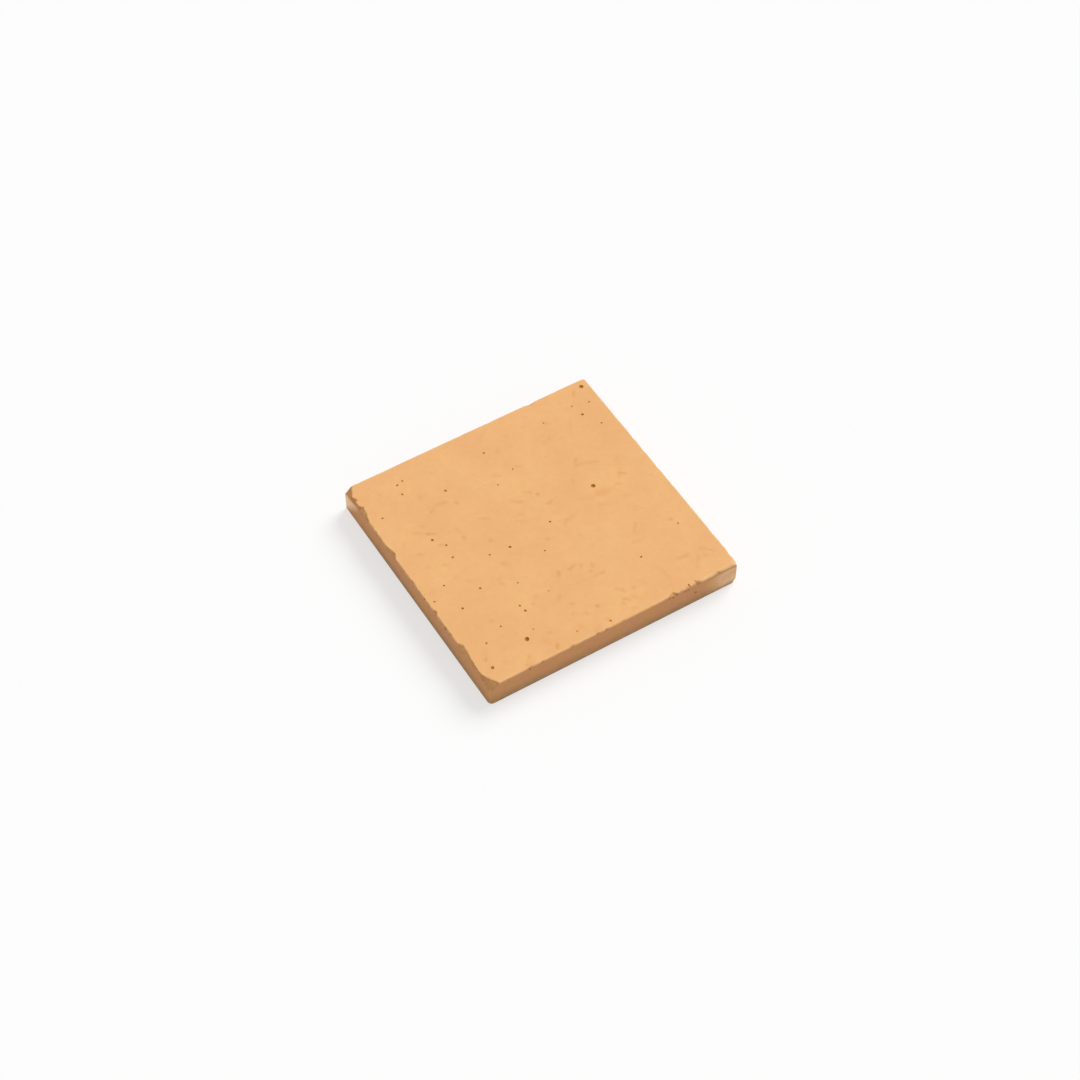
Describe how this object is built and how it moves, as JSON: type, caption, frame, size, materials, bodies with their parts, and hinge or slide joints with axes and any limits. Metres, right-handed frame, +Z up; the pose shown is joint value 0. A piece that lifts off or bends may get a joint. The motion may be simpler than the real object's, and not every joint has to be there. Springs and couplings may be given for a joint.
{
  "type": "concrete paving slab",
  "caption": "Square cast concrete paving slab in ochre, with worn edges, chipped arrises and broken corners, for laying flat on a bed.",
  "frame": {"origin": "middle of the underside, on the floor", "axes": "+Z up out of the walking face, +X along the front edge to the right, +Y towards the back"},
  "size_m": [0.4, 0.4, 0.042],
  "materials": {
    "concrete": "matte"
  },
  "bodies": {
    "root": {"slab": "concrete"}
  },
  "joints": []
}
